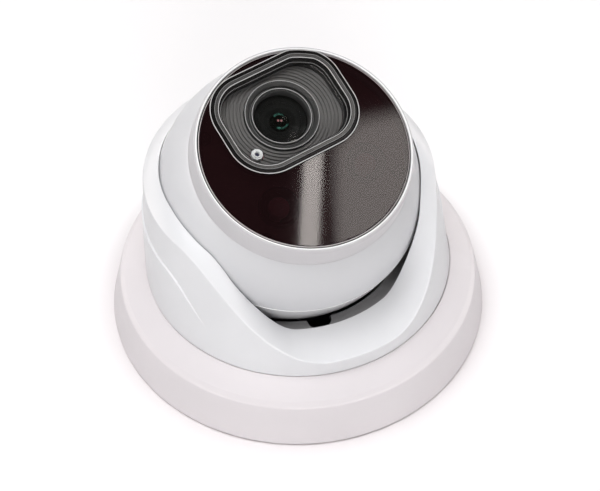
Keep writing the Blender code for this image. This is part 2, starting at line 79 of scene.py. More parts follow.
CONDUIT_RADIUS, CONDUIT_HEIGHT = 6.2, 10.6
CONDUIT = shift(0, 0, CONDUIT_HEIGHT) @ swing(-90, "X")    # its z runs out of the base's back
RECESS_INSET, RECESS_DEPTH, RECESS_SHIFT = 0.12, 1.2, (0.86, 0.28)
COLLAR_PIN_HOLE, SHELL_PIN_HOLE = 2.6, 3.4

BALL_RADIUS, REAR_RADIUS, SHELL_WALL, SEAM, REAR_FLAT = 50.85, 50.2, 2.6, 3.75, -40.0
BEZEL_BACK, BEZEL_FRONT, BEZEL_BORE = 29.6, 40.3, 39.3
WINDOW_RADIUS, WINDOW_BACK, WINDOW_FRONT = 38.45, 37.6, 40.0
FACE_RADIUS, FACE_BACK, FACE_FRONT = 38.3, 31.6, 33.2
WELL_SIZE, WELL_CORNER = (50.8, 39.8), 15.5
BEAD_SIZE, BEAD_CORNER = (52.7, 41.2), 15.2
BEAD_SHIFT = (0.3, -0.4)       # the bead's middle, from the lens
BEAD_REACH = 39.0              # it keeps inside the bezel, from the window's middle
FRAME_LINES = [                # on the bead, painted edge highlights and a painted reflection band as thin light strips: name, inset, height, width and look
    ("outer", 0.02, 40.58, 0.30, "polished_edge"),
    ("step", 1.72, 40.86, 0.22, "soft_edge"),
    ("band", 2.02, 40.84, 0.85, "bead_band"),
    ("inner", 3.05, 40.68, 0.26, "polished_edge"),
    ("well", 4.05, 38.60, 0.24, "soft_edge")]
COLLAR_LINES = [               # on the lens collar, painted edge highlights as thin light strips: name, radius, height, width and look
    ("inner", 10.90, 35.28, 0.24, "polished_edge"),
    ("middle", 11.62, 34.30, 0.22, "soft_edge"),
    ("step", 12.45, 35.36, 0.20, "soft_edge"),
    ("outer", 13.62, 36.26, 0.24, "polished_edge")]
LENS_RING_RADIUS, LENS_RADIUS = 14.0, 9.9
SENSOR_SPOT, SENSOR_HOLE = (-16.2, -9.2), 2.7
LED_SPOTS = {"left": (-18.7, -14.2), "right": (18.7, -14.2)}
LED_CUP_RADIUS = 7.3
SCREW_SPOTS, SCREW_HOLE = [(x, y) for x in (-28.7, 28.7) for y in (-22.4, 22.4)], 3.2
RIBS, RIB_PITCH = 5, 1.35

COLLAR_FOOT_RADIUS, COLLAR_WALL = 60.15, 2.85
COLLAR_FOOT = BASE_HEIGHT + GAP
SHELF_RADIUS, SHELF_HEIGHT, LIP_HEIGHT = 50.2, 30.4, 30.2
BORE_RADIUS, RIM_HEIGHT = 51.75, 69.0
BAND_HEIGHT, BAND_RADIUS = 64.5, 55.4
SEAT_TOP, SEAT_BORE = 26.6, 43.6
NOTCH_WIDTH, NOTCH_ANGLE = 9.6, -9.5
RIM_TIGHTENING = 0.45          # the rim's bore is this much smaller than the sphere round the ball
COLLAR_BULGE = 2.4             # the wall's swelling at the back
CREASE_SHARE, CREASE_LEAST = 0.62, 0.12    # the crease's height, as a share of the wall's
CREASE_PROUD, CREASE_LEDGE = 0.55, 0.75
# Degrees from the scoop's middle over which each feature of the collar grows.
RIM_RISE, RIM_RISE_SLOW, BAND_RISE = (21, 60), (21, 90), (11, 72)
BULGE_RISE, CREASE_RISE, CREASE_FADE = (80, 180), (26, 78), (52, 72)

# The stage, in metres.
WARM_WHITE = (1.0, 0.93, 0.89)
WORLD_LEVEL, OVERHEAD_LEVEL = 0.27, 0.03   # all round, and in the dark patch overhead
OVERHEAD, OVERHEAD_EDGE = (0.22, 0.0, 0.976), (0.80, 0.93)
PANEL_CENTRE, PANEL_TOWARD = (0.358, -0.115, 1.226), (0.2967, -0.0752, 0.952)
PANEL_OUTLINE = [(-0.0205, 0.0464), (-0.0541, 0.0657), (-0.16, 0.06), (-0.12, -0.14), (0.0257, -0.12)]
STRIP_OUTLINE = [(0.0125, 0.058), (-0.0082, 0.052), (0.0432, -0.09), (0.065, -0.085)]
FLOOR_REACH, FLOOR_HEIGHT = 6.0, -0.0002
FLOOR_SHADE = (0.0745, 0.0865)             # the shade round the base fades between these radii
CAMERA_TARGET, CAMERA_DISTANCE = (0.0009045, -0.0004041, 0.0283887), 0.60101
CAMERA_AZIMUTH, CAMERA_ELEVATION, CAMERA_ROLL = -24.074, 49.031, 0.54
CAMERA_LENS_MM, CAMERA_FILM_MM = 91.28, 36.0


# ---------------------------------------------------------------- materials
class Nodes:
    """A Principled material and short ways to wire nodes into it."""

    def __init__(self, name, colour, roughness, metallic=0.0):
        self.mat = bpy.data.materials.new(name)
        self.mat.use_nodes = True
        self.tree = self.mat.node_tree
        self.shader = self.tree.nodes["Principled BSDF"]
        self.set("Base Color", (*colour, 1.0))
        self.set("Roughness", roughness)
        self.set("Metallic", metallic)
        self.place = self.add("ShaderNodeTexCoord").outputs["Object"]

    def set(self, socket, value):
        self.shader.inputs[socket].default_value = value

    def add(self, kind, **values):
        node = self.tree.nodes.new(kind)
        for key, value in values.items():
            setattr(node, key, value)
        return node

    def link(self, out, into):
        self.tree.links.new(out, into)

    def stretched(self, scale):
        node = self.add("ShaderNodeMapping")
        node.inputs["Scale"].default_value = scale
        self.link(self.place, node.inputs["Vector"])
        return node.outputs["Vector"]

    def noise(self, scale, detail=3.0, place=None):
        node = self.add("ShaderNodeTexNoise")
        node.inputs["Scale"].default_value = scale
        node.inputs["Detail"].default_value = detail
        self.link(place or self.place, node.inputs["Vector"])
        return node.outputs["Fac"]

    def span(self, value, low, high, to_low, to_high):
        node = self.add("ShaderNodeMapRange")
        for socket, number in zip(("From Min", "From Max", "To Min", "To Max"), (low, high, to_low, to_high)):
            node.inputs[socket].default_value = number
        self.link(value, node.inputs["Value"])
        return node.outputs["Result"]

    def maths(self, operation, a, b=None):
        node = self.add("ShaderNodeMath", operation=operation)
        for index, value in enumerate((a, b)):
            if isinstance(value, (int, float)):
                node.inputs[index].default_value = value
            elif value is not None:
                self.link(value, node.inputs[index])
        return node.outputs[0]

    def mix(self, factor, first, second):
        node = self.add("ShaderNodeMix", data_type="RGBA")
        self.link(factor, node.inputs["Factor"])
        for socket, value in ((6, first), (7, second)):
            if isinstance(value, tuple):
                node.inputs[socket].default_value = (*value, 1.0)
            else:
                self.link(value, node.inputs[socket])
        return node.outputs[2]

    def bump(self, height, distance, strength=1.0, after=None):
        node = self.add("ShaderNodeBump")
        node.inputs["Distance"].default_value = distance
        node.inputs["Strength"].default_value = strength
        self.link(height, node.inputs["Height"])
        if after is not None:
            self.link(after, node.inputs["Normal"])
        return node.outputs["Normal"]

    def wear_and_sheen_edges(self, colour, edge):
        """Edges are lighter: a little, as wear where hands and dust cloths reach; much lighter, as painted
        highlight, where the caller asks for it.
        """
        point = self.add("ShaderNodeNewGeometry").outputs["Pointiness"]
        return self.mix(self.span(point, 0.52, 0.62, 0.0, 0.6), colour, edge)

    def out(self, socket, value):
        self.link(value, self.shader.inputs[socket])


def tone(colour, factor):
    return tuple(min(max(c * factor, 0.0), 1.0) for c in colour)


def plastic(name, colour, roughness, specular=0.5, grain=0.000012, coat=0.0):
    """Injection-moulded plastic: fine spark grain, faint flow and gloss changes, softly worn edges."""
    m = Nodes(name, colour, roughness)
    cloud = m.noise(22.0, 4.0)
    shade = m.mix(m.span(cloud, 0.35, 0.65, 0.0, 1.0), tone(colour, 0.975), tone(colour, 1.02))
    m.out("Base Color", m.wear_and_sheen_edges(shade, tone(colour, 1.05)))
    m.out("Roughness", m.span(m.noise(140.0, 3.0), 0.3, 0.7, roughness * 0.88, roughness * 1.12))
    fine = m.noise(2600.0, 2.0)
    soft = m.noise(420.0, 2.0)
    m.out("Normal", m.bump(fine, grain, 0.55, m.bump(soft, grain * 2.0, 0.35)))
    m.set("Coat Weight", coat)
    m.set("Coat Roughness", 0.25)
    m.set("Specular IOR Level", specular)
    return m.mat


def metal(name, colour, roughness, brush=(60.0, 60.0, 2400.0)):
    """Brushed or turned metal: long fine scratches, a little tarnish."""
    m = Nodes(name, colour, roughness, 1.0)
    lines = m.noise(1.0, 4.0, m.stretched(brush))
    tarnish = m.noise(70.0, 4.0)
    m.out("Base Color", m.mix(m.span(tarnish, 0.4, 0.75, 0.0, 1.0), colour, tone(colour, 0.78)))
    m.out("Roughness", m.span(lines, 0.3, 0.7, roughness * 0.75, roughness * 1.3))
    m.out("Normal", m.bump(lines, 0.00002, 0.5))
    return m.mat


def rubber(name, colour, roughness):
    m = Nodes(name, colour, roughness)
    dust = m.span(m.noise(55.0, 5.0), 0.52, 0.75, 0.0, 0.5)
    m.out("Base Color", m.mix(dust, colour, tone(colour, 2.2)))
    m.out("Roughness", m.span(m.noise(300.0), 0.3, 0.7, roughness * 0.85, min(roughness * 1.1, 1.0)))
    m.out("Normal", m.bump(m.noise(1800.0, 3.0), 0.00003, 0.7))
    return m.mat


def glassy(name, colour, roughness, alpha, specular=0.5, smudge=0.02):
    """Polished clear or tinted sheet; where it is wiped, the gloss changes very slightly."""
    m = Nodes(name, colour, roughness)
    wipe = m.noise(1.0, 3.0, m.stretched((30.0, 9.0, 30.0)))
    cloud = m.span(m.noise(16.0), 0.35, 0.7, 0.0, 1.0)
    m.out("Base Color", m.mix(cloud, tone(colour, 0.9), tone(colour, 1.12)))
    m.out("Roughness", m.span(wipe, 0.35, 0.75, roughness, roughness + smudge))
    m.out("Normal", m.bump(m.noise(30.0, 1.0), 0.00001, 0.1))
    m.set("Alpha", alpha)
    m.set("Specular IOR Level", specular)
    return m.mat


def circuit(name, mask, track):
    """Green solder mask over copper tracks, with tinned pads in rows."""
    m = Nodes(name, mask, 0.35)
    brick = m.add("ShaderNodeTexBrick", offset=0.5)
    brick.inputs["Scale"].default_value = 260.0
    brick.inputs["Mortar Size"].default_value = 0.035
    m.link(m.place, brick.inputs["Vector"])
    cells = m.add("ShaderNodeTexVoronoi", feature="F1", distance="CHEBYCHEV")
    cells.inputs["Scale"].default_value = 330.0
    m.link(m.place, cells.inputs["Vector"])
    pads = m.maths("LESS_THAN", cells.outputs["Distance"], 0.16)
    lines = m.mix(brick.outputs["Fac"], mask, track)
    m.out("Base Color", m.mix(pads, lines, (0.62, 0.60, 0.55)))
    m.out("Roughness", m.span(pads, 0.0, 1.0, 0.42, 0.25))
    m.out("Normal", m.bump(m.maths("ADD", brick.outputs["Fac"], pads), 0.00005, 0.5))
    return m.mat


def turned_black(name, colour, roughness, centre, axis_matrix, pitch):
    """Anodised black with fine tool rings about the lens axis."""
    m = Nodes(name, colour, roughness)
    mapping = m.add("ShaderNodeMapping", vector_type="TEXTURE")
    mapping.inputs["Location"].default_value = centre
    mapping.inputs["Rotation"].default_value = axis_matrix.to_euler()
    m.link(m.place, mapping.inputs["Vector"])
    rings = m.add("ShaderNodeTexWave", wave_type="RINGS", rings_direction="Z")
    rings.inputs["Scale"].default_value = 1.0 / (pitch * 20.0)
    rings.inputs["Distortion"].default_value = 0.3
    m.link(mapping.outputs["Vector"], rings.inputs["Vector"])
    # Edges three times lighter here: painted highlight that draws bright lines along the lens parts' edges.
    m.out("Base Color", m.wear_and_sheen_edges(m.mix(rings.outputs["Fac"], tone(colour, 0.8), tone(colour, 1.25)),
                                     tone(colour, 3.0)))
    m.out("Roughness", m.span(rings.outputs["Fac"], 0.0, 1.0, roughness * 0.9, roughness * 1.15))
    m.out("Normal", m.bump(rings.outputs["Fac"], 0.00001, 0.4, m.bump(m.noise(2200.0), 0.00001, 0.4)))
    return m.mat


def coated(name, dark, tint):
    """Coated lens edge: teal patches painted into the colour stand in for the coating's coloured reflections.
    """
    m = Nodes(name, dark, 0.08)
    painted_flare = m.span(m.noise(330.0, 1.0), 0.5, 0.6, 0.0, 1.0)
    m.out("Base Color", m.mix(painted_flare, dark, tint))
    m.out("Roughness", m.span(m.noise(900.0), 0.3, 0.7, 0.05, 0.12))
    return m.mat


def glint(name, colour, strength):
    """A painted glint: a glowing spot that stands in for the light a coated lens throws straight back."""
    m = Nodes(name, colour, 0.1)
    core = m.span(m.noise(700.0, 1.0), 0.35, 0.65, 0.0, 1.0)
    m.out("Emission Color", m.mix(core, colour, (1.0, 0.8, 0.8)))
    m.set("Emission Strength", strength)
    return m.mat


FINE, FINER = 0.000003, 0.000002    # grain of smooth and of polished plastic, in metres
LOOK_TABLE = [
    (plastic, "pink_white_plastic", (0.71, 0.672, 0.69), 0.42, 0.35),
    (plastic, "white_plastic", (0.745, 0.747, 0.765), 0.36, 0.35),
    (plastic, "ball_plastic", (0.655, 0.657, 0.676), 0.36, 0.35),
    (plastic, "rear_shell_plastic", (0.68, 0.68, 0.69), 0.42),
    (plastic, "bezel_plastic", (0.565, 0.552, 0.568), 0.32),
    (plastic, "grey_plastic", (0.335, 0.33, 0.335), 0.34, 0.8),
    # Dark plastic lightened in its colour: partly the ribs' own grey, partly painted sheen.
    (plastic, "rib_plastic", (0.135, 0.131, 0.128), 0.42, 0.5, 0.000006),
    (plastic, "satin_black", (0.060, 0.060, 0.059), 0.45, 0.2, FINE),
    (coated, "green_coat", (0.004, 0.006, 0.005), (0.30, 0.95, 0.75)),
    (plastic, "sensor_clear", (0.88, 0.89, 0.89), 0.10, 1.0, FINER),
    (glint, "red_coat", (1.0, 0.30, 0.32), 0.5),
    (rubber, "rubber", (0.018, 0.017, 0.017), 0.75),
    (plastic, "nylon", (0.72, 0.71, 0.66), 0.55, 0.5, 0.00002),
    (plastic, "bead_black", (0.0045, 0.0043, 0.0043), 0.22, 0.3, FINER),
    # Colours of the strips on the bead and collar: painted highlights, and a painted reflection band.
    (plastic, "polished_edge", (0.55, 0.54, 0.54), 0.30, 0.3, FINER),
    (plastic, "soft_edge", (0.21, 0.207, 0.205), 0.35, 0.3, FINER),
    (plastic, "bead_band", (0.050, 0.049, 0.048), 0.24, 0.8, FINER),
    (plastic, "rim_line", (0.52, 0.48, 0.48), 0.12, 0.9, FINER),
    (plastic, "lip_white", (0.93, 0.93, 0.93), 0.25, 0.5, 0.000004),
    (plastic, "lamp_ring", (0.66, 0.165, 0.22), 0.40, 0.3, FINER),
    (plastic, "lamp_shade", (0.018, 0.010, 0.010), 0.35, 0.5, FINER),
    (metal, "steel", (0.62, 0.62, 0.61), 0.34),
    (metal, "dark_steel", (0.07, 0.062, 0.062), 0.4),
    (metal, "aluminium", (0.74, 0.74, 0.76), 0.38),
    (metal, "copper", (0.72, 0.33, 0.17), 0.35, (1800.0, 60.0, 60.0)),
    (glassy, "tinted_window", (0.0105, 0.0034, 0.004), 0.035, 0.71, 0.5, 0.01),
    (glassy, "lens_pane", (0.008, 0.008, 0.008), 0.03, 0.06, 0.2),
    (plastic, "face_plastic", (0.27, 0.088, 0.099), 0.42),
    (plastic, "gloss_black_plastic", (0.006, 0.006, 0.0065), 0.07, 0.8, FINER, 1.0),
    (turned_black, "matt_black_plastic", (0.030, 0.030, 0.031), 0.40, LENS.translation * MM, LENS, 0.0004),
    (glassy, "lens_glass", (0.005, 0.0055, 0.004), 0.03, 0.35, 0.3, 0.0),
    (glassy, "clear_plastic", (0.75, 0.76, 0.76), 0.08, 0.85),
    (glassy, "lamp_plastic", (0.32, 0.05, 0.06), 0.12, 0.9),
    (metal, "reflector", (0.34, 0.13, 0.14), 0.22),
    (circuit, "circuit_board", (0.012, 0.085, 0.04), (0.03, 0.15, 0.07)),
    (glassy, "sensor_glass", (0.05, 0.05, 0.09), 0.05, 1.0),
    (glassy, "filter_glass", (0.10, 0.28, 0.34), 0.04, 0.8),
]
LOOKS = {name: make(name, *values) for make, name, *values in LOOK_TABLE}
SLOT_NODES = {
    "pink_white_plastic": ["mounting_base", "conduit_plug"],
    "white_plastic": ["trim_collar", "front_shell"],
    "rear_shell_plastic": ["rear_shell"],
    "bezel_plastic": ["bezel_ring"],
    "grey_plastic": ["seat_ring"],
    "rubber": ["base_gasket", "cable_gland", "seam_seal", "window_gasket"],
    "nylon": ["tilt_washer_left", "tilt_washer_right", "roll_ring", "focus_cell", "cable_connector"],
    "steel": ["back_plate", "base_screw_1", "base_screw_2", "base_screw_3", "pan_snap_ring", "focus_screw",
              "trunnion_pin_left", "trunnion_pin_right", "board_post_1", "board_post_2", "board_post_3",
              "board_post_4"],
    "dark_steel": ["face_screw_1", "face_screw_2", "face_screw_3", "face_screw_4"],
    "aluminium": ["inner_frame", "heat_sink", "focus_motor"],
    "copper": ["ircut_coil"],
    "tinted_window": ["window"],
    "face_plastic": ["face_plate"],
    "gloss_black_plastic": ["lens_shroud"],
    "matt_black_plastic": ["lens_baffle", "lens_ring", "lens_barrel", "lens_mount", "processor"],
    "lens_glass": ["front_lens", "rear_lens", "focus_lens"],
    "clear_plastic": ["light_sensor"],
    "lamp_plastic": ["ir_led_left", "ir_led_right"],
    "reflector": ["led_cup_left", "led_cup_right"],
    "circuit_board": ["led_board", "sensor_board", "main_board"],
    "sensor_glass": ["image_sensor"],
    "filter_glass": ["ircut_filter"],
}


def dress(obj, slot, look=None):
    obj.data.materials.clear()
    obj.data.materials.append(LOOKS[look or slot])


for slot_name, members in SLOT_NODES.items():
    for member in members:
        dress(frame["nodes"][member], slot_name)


# ---------------------------------------------------------------- shapes, in millimetres
def smoothstep(low, high, value):
    t = min(max((value - low) / (high - low), 0.0), 1.0)
    return t * t * (3 - 2 * t)


def mixed(a, b, t):
    return a + (b - a) * t


def arc(centre, radius, start, end, steps):
    angles = [math.radians(start + (end - start) * i / steps) for i in range(steps + 1)]
    return [(centre[0] + radius * math.cos(a), centre[1] + radius * math.sin(a)) for a in angles]


def rounded(points, closed=True, steps=5):
    """Fillets the corners of a flat profile; each point is (across, up) or (across, up, fillet)."""
    made = []
    count = len(points)
    for index, point in enumerate(points):
        here = Vector(point[:2])
        fillet = point[2] if len(point) > 2 else 0.0
        inner = closed or 0 < index < count - 1
        if fillet <= 0.0 or not inner:
            made.append(tuple(here))
            continue
        before = Vector(points[index - 1][:2]) - here
        after = Vector(points[(index + 1) % count][:2]) - here
        half = before.angle(after) / 2
        reach = min(fillet / math.tan(half), 0.49 * before.length, 0.49 * after.length)
        radius = reach * math.tan(half)
        start = here + before.normalized() * reach
        end = here + after.normalized() * reach
        middle = here + (before.normalized() + after.normalized()).normalized() * (radius / math.sin(half))
        for step in range(steps + 1):
            ray = (start - middle).normalized().slerp((end - middle).normalized(), step / steps)
            made.append(tuple(middle + ray * radius))
    return made


def skin(loops, closed=True):
    """Quads between loops of points; a loop of one point is a pole. closed joins the last to the first."""
    bm = bmesh.new()
    rows = [[bm.verts.new(point) for point in loop] for loop in loops]
    pairs = list(zip(rows, rows[1:]))
    if closed:
        pairs.append((rows[-1], rows[0]))
    for here, there in pairs:
        count = max(len(here), len(there))
        for i in range(count):
            j = (i + 1) % count
            if len(here) == 1:
                bm.faces.new((here[0], there[i], there[j]))
            elif len(there) == 1:
                bm.faces.new((here[i], here[j], there[0]))
            else:
                bm.faces.new((here[i], here[j], there[j], there[i]))
    return bm


def hoop(radius, height, steps):
    angles = [2 * math.pi * i / steps for i in range(steps)]
    return [(radius * math.cos(a), radius * math.sin(a), height) for a in angles]


def lathe(profile, steps=STEPS):
    """Turned piece; a profile that starts and ends on the axis is closed by its poles."""
    loops = [[(0.0, 0.0, height)] if radius < ON_AXIS else hoop(radius, height, steps)
             for radius, height in profile]
    return skin(loops, closed=profile[0][0] > ON_AXIS)


def prism(points, low, high):
    """Upright block whose flat ends follow a closed line of points."""
    bm = skin([[(x, y, z) for x, y in points] for z in (low, high)], closed=False)
    corners = list(bm.verts)
    bm.faces.new(corners[:len(points)][::-1])
    bm.faces.new(corners[len(points):])
    return bm


def block(size, matrix):
    bm = bmesh.new()
    bmesh.ops.create_cube(bm, size=1.0)
    bm.transform(matrix @ Matrix.Diagonal((*size, 1.0)))
    return bm


def line_profile(start, width, height, depth):
    """Closed profile of a fine raised strip that carries painted light; its top is just above the surface it
    lies on.
    """
    top = height + 0.04
    return rounded([(start, height - depth), (start, top, 0.06), (start + width, top, 0.06),
                    (start + width, height - depth)], steps=3)


def outline(inset, size=WELL_SIZE, corner=WELL_CORNER, steps=16, sides=6):
    """Rounded rectangle about the lens axis, drawn in by inset, always with the same count of points."""
    radius = max(corner - inset, 0.05)
    x, y = size[0] / 2 - corner, size[1] / 2 - corner
    points = []
    for quarter, (sx, sy) in enumerate(((1, 1), (-1, 1), (-1, -1), (1, -1))):
        points += arc((sx * x, sy * y), radius, 90 * quarter, 90 * quarter + 90, steps)
        nx, ny = ((-1, 1), (-1, -1), (1, -1), (1, 1))[quarter]
        turn = math.radians(90 * quarter + 90)
        ahead = (nx * x + radius * math.cos(turn), ny * y + radius * math.sin(turn))
        last = points[-1]
        points += [(mixed(last[0], ahead[0], k / sides), mixed(last[1], ahead[1], k / sides))
                   for k in range(1, sides)]
    return points


def bead_outline(inset):
    """The frame's outline, which follows the round bezel where it would pass it."""
    middle = Vector((-LENS_X, -LENS_Y))
    made = []
    for x, y in outline(inset, BEAD_SIZE, BEAD_CORNER):
        out = Vector((x + BEAD_SHIFT[0], y + BEAD_SHIFT[1])) - middle
        made.append(tuple(middle + out * min(1.0, (BEAD_REACH - inset) / out.length)))
    return made


def frame_loft(profile, draw=outline):
    """Sweeps a closed (inset, height) profile round the rounded rectangle."""
    return skin([[(x, y, height) for x, y in draw(inset)] for inset, height in profile])


def new_object(name, bm):
    """Puts a bmesh into the scene as an object and frees it."""
    mesh = bpy.data.meshes.new(name)
    bm.to_mesh(mesh)
    bm.free()
    obj = bpy.data.objects.new(name, mesh)
    bpy.context.collection.objects.link(obj)
    return obj


def piece(name, bm, slot, body, matrix=None, replaces=(), look=None, sharp=38.0, even_normals=True):
    """One finished piece of the visual model, in the row frame, riding on its body."""
    if matrix is not None:
        bm.transform(matrix)
    bm.transform(Matrix.Scale(MM, 4))
    bmesh.ops.recalc_face_normals(bm, faces=bm.faces)
    obj = new_object(name, bm)
    obj.data.shade_smooth()
    obj.data.set_sharp_from_angle(angle=math.radians(sharp))
    if even_normals:
        obj.modifiers.new("even_normals", "WEIGHTED_NORMAL").keep_sharp = True
    dress(obj, slot, look)
    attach(obj, body)
    if replaces:
        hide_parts(*replaces)
    return obj


def carve(bm, tool):
    """Cuts one bmesh out of another and gives back the result as a bmesh."""
    objs = []
    for part in (bm, tool):
        bmesh.ops.recalc_face_normals(part, faces=part.faces)
        objs.append(new_object("carve", part))
    modifier = objs[0].modifiers.new("carve", "BOOLEAN")
    modifier.object = objs[1]
    modifier.solver = "EXACT"
    made = bmesh.new()
    made.from_object(objs[0], bpy.context.evaluated_depsgraph_get())
    for obj in objs:
        mesh = obj.data
        bpy.data.objects.remove(obj)
        bpy.data.meshes.remove(mesh)
    return made


def moved(bm, matrix):
    bm.transform(matrix)
    return bm


def rod(radius, low, high, steps=SMALL_STEPS):
    return lathe([(0, low), (radius, low), (radius, high), (0, high)], steps)


def sphere_radius(radius, height):
    return math.sqrt(radius * radius - height * height)


# ---------------------------------------------------------------- mounting base
def build_base():
    profile = rounded([
        (BASE_RADIUS - 0.6, 0.0, 0.2), (BASE_RADIUS, 0.8, 0.6), (70.9, 17.9, 2.2), (69.0, 19.35, 2.6),
        (COLLAR_FOOT_RADIUS + 0.8, BASE_HEIGHT - 0.35, 0.5),
        (COLLAR_FOOT_RADIUS + 0.2, BASE_HEIGHT - 0.02, 0.25),
        (53.9, BASE_HEIGHT, 0.3), (53.9, 20.3, 0.2), (58.55, 20.3, 0.4), (67.5, 16.6, 1.0), (72.1, 0.0, 0.2)])
    hole = moved(rod(CONDUIT_RADIUS, 60.0, 80.0), CONDUIT)
    recess = rod(COLLAR_FOOT_RADIUS - RECESS_INSET, BASE_HEIGHT - RECESS_DEPTH, BASE_HEIGHT + 2, STEPS)
    body = carve(carve(lathe(profile), hole), moved(recess, shift(*RECESS_SHIFT)))
    piece("base_shell", body, "pink_white_plastic", "base", replaces=["mounting_base"])
    plug = rounded([(0, 62.0), (7.2, 62.0), (7.2, 63.5), (5.9, 63.5), (5.9, 71.7, 0.5), (2.4, 71.7, 0.2),
                    (2.2, 70.9, 0.2), (0, 70.9)], closed=False)
    coin_slot = block((8.4, 1.2, 1.6), shift(0, 0, 71.4))
    piece("conduit_cap", carve(lathe(plug, SMALL_STEPS), coin_slot), "pink_white_plastic", "base", CONDUIT,
          ["conduit_plug"])
    for index in (1, 2, 3):
        low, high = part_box(f"base_screw_{index}")
        centre = (low + high) / 2 / MM
        head = rounded([(0, 0.1), (2.8, 0.1, 0.35), (2.8, 1.0, 0.1), (1.05, 1.0), (1.05, 10.0, 0.4),
                        (0, 10.0)], closed=False)
        bm = lathe(head, SMALL_STEPS)
        for degrees in (0, 90):
            bm = carve(bm, block((3.2, 0.7, 1.3), swing(degrees, "Z")))
        piece(f"plate_screw_{index}", bm, "steel", "base", shift(centre.x, centre.y),
              [f"base_screw_{index}"])


# ---------------------------------------------------------------- collar
def foot_distance(angle, radius):
    return BALL_OFFSET * math.cos(angle) + math.sqrt(radius ** 2 - (BALL_OFFSET * math.sin(angle)) ** 2)


def bore_at(height):
    if height > BALL_HEIGHT:
        tighter = RIM_TIGHTENING * smoothstep(BALL_HEIGHT, BALL_HEIGHT + 6, height)
        return sphere_radius(BORE_RADIUS, height - BALL_HEIGHT) - tighter
    rise = (height - SEAT_TOP - GAP) / (BALL_HEIGHT - SEAT_TOP - GAP)
    return mixed(SHELF_RADIUS, BORE_RADIUS, smoothstep(0.0, 1.0, rise))


def collar_section(degrees):
    """The collar's profile at this many degrees from the scoop's middle, as (distance, height)."""
    angle = math.radians(degrees)
    sideways = min(degrees, 360 - degrees)
    rim_rise = mixed(smoothstep(*RIM_RISE, sideways), smoothstep(*RIM_RISE_SLOW, sideways), 0.29)
    band_rise = smoothstep(*BAND_RISE, sideways)
    foot = foot_distance(angle, COLLAR_FOOT_RADIUS)
    foot_inside = foot_distance(angle, COLLAR_FOOT_RADIUS - COLLAR_WALL)
    rim = mixed(SHELF_HEIGHT, RIM_HEIGHT, rim_rise)
    band = mixed(LIP_HEIGHT, BAND_HEIGHT, band_rise)
    band_radius = mixed(foot, BAND_RADIUS, band_rise)
    bulge = COLLAR_BULGE * smoothstep(*BULGE_RISE, sideways)
    crease = max(CREASE_SHARE * smoothstep(*CREASE_RISE, sideways), CREASE_LEAST)
    fade = smoothstep(*CREASE_FADE, sideways)
    proud, ledge = CREASE_PROUD * fade, CREASE_LEDGE * fade
    section = [(foot_inside, COLLAR_FOOT, 0.2), (foot, COLLAR_FOOT, 0.35)]
    for share in (0.15, 0.35, 0.55, 0.72, 0.84, 0.92, 0.97, 0.99, 1.0):
        step = crease * share
        swell = bulge * math.sin(math.pi * step) + proud * share
        section.append((mixed(foot, band_radius, step) + swell, mixed(COLLAR_FOOT, band, step)))
    for share in (0.014, 0.022, 0.05, 0.11, 0.2, 0.33, 0.5, 0.68, 0.85):
        step = mixed(crease, 1.0, share)
        inward = proud - ledge * smoothstep(0.0, 0.018, share)
        swell = bulge * math.sin(math.pi * step) + inward * (1 - share) ** 1.2
        section.append((mixed(foot, band_radius, step) + swell, mixed(COLLAR_FOOT, band, step)))
    section.append((band_radius, band, 0.9))
    start, end = Vector((band_radius, band)), Vector((bore_at(rim), rim))
    lift = mixed(0.15, 1.0, band_rise)
    knee = start.lerp(end, 0.55) + Vector((0.25, 0.75)) * lift
    for t in (0.2, 0.35, 0.5, 0.65, 0.8, 0.9):
        point = start * (1 - t) ** 2 + knee * (2 * t * (1 - t)) + end * t ** 2
        section.append(tuple(point))
    section.append((end.x, end.y, 0.45))
    floor = SEAT_TOP + GAP
    for step in (0.12, 0.25, 0.4, 0.55, 0.7, 0.85):
        height = mixed(rim, floor, step)
        section.append((bore_at(height), height))
    section.append((bore_at(floor), floor, 0.2))
    section.append((foot_inside, floor + 0.01))
    return rounded(section)


def build_collar():
    steps = 360
    loops = []
    for index in range(steps):
        degrees = 360 * index / steps
        angle = math.radians(degrees)
        loops.append([(radius * math.sin(angle), BALL_OFFSET - radius * math.cos(angle), height)
                      for radius, height in collar_section(degrees)])
    bm = skin(loops)
    for side in (-1, 1):
        pin = rod(COLLAR_PIN_HOLE, 45.0, 54.5)
        bm = carve(bm, moved(pin, shift(*BALL) @ swing(90 * side, "Y")))
    piece("collar_shell", bm, "white_plastic", "collar", replaces=["trim_collar"], sharp=50.0)


def build_seat():
    """Grey ledge under the ball: an annulus with a rounded edge, cable notch and turned lip."""
    profile = rounded([
        (34.0, SEAT_TOP), (57.0, SEAT_TOP, 0.3), (57.0, COLLAR_FOOT, 0.1), (53.6, COLLAR_FOOT), (53.6, 17.3),
        (55.2, 17.3, 0.3), (55.2, 15.6, 0.6), (52.0, 15.6, 0.2), (52.0, COLLAR_FOOT), (34.0, COLLAR_FOOT)])
    taper = lathe([(0, COLLAR_FOOT - 1), (SEAT_BORE - 2.6, COLLAR_FOOT - 1), (SEAT_BORE - 2.0, COLLAR_FOOT),
                   (SEAT_BORE, SEAT_TOP), (SEAT_BORE + 2.0, SEAT_TOP + 3), (0, SEAT_TOP + 3)])
    bm = carve(lathe(profile), moved(taper, shift(0, BALL_OFFSET)))
    half = NOTCH_WIDTH / 2
    shape = [(30.0, -half), (SEAT_BORE, -half)] + arc((SEAT_BORE, 0), half, -85, 85, 16)
    shape += [(SEAT_BORE, half), (30.0, half)]
    notch = moved(prism(shape, 22.0, 30.0), shift(0, BALL_OFFSET) @ swing(NOTCH_ANGLE - 90, "Z"))
    obj = piece("seat_ledge", carve(bm, notch), "grey_plastic", "collar", replaces=["seat_ring"],
                even_normals=False)
    edge = obj.modifiers.new("edge", "BEVEL")
    edge.width = 0.0005
    edge.segments = 2
    edge.limit_method = "ANGLE"
    edge.angle_limit = math.radians(50)
    obj.modifiers.new("even_normals", "WEIGHTED_NORMAL").keep_sharp = True


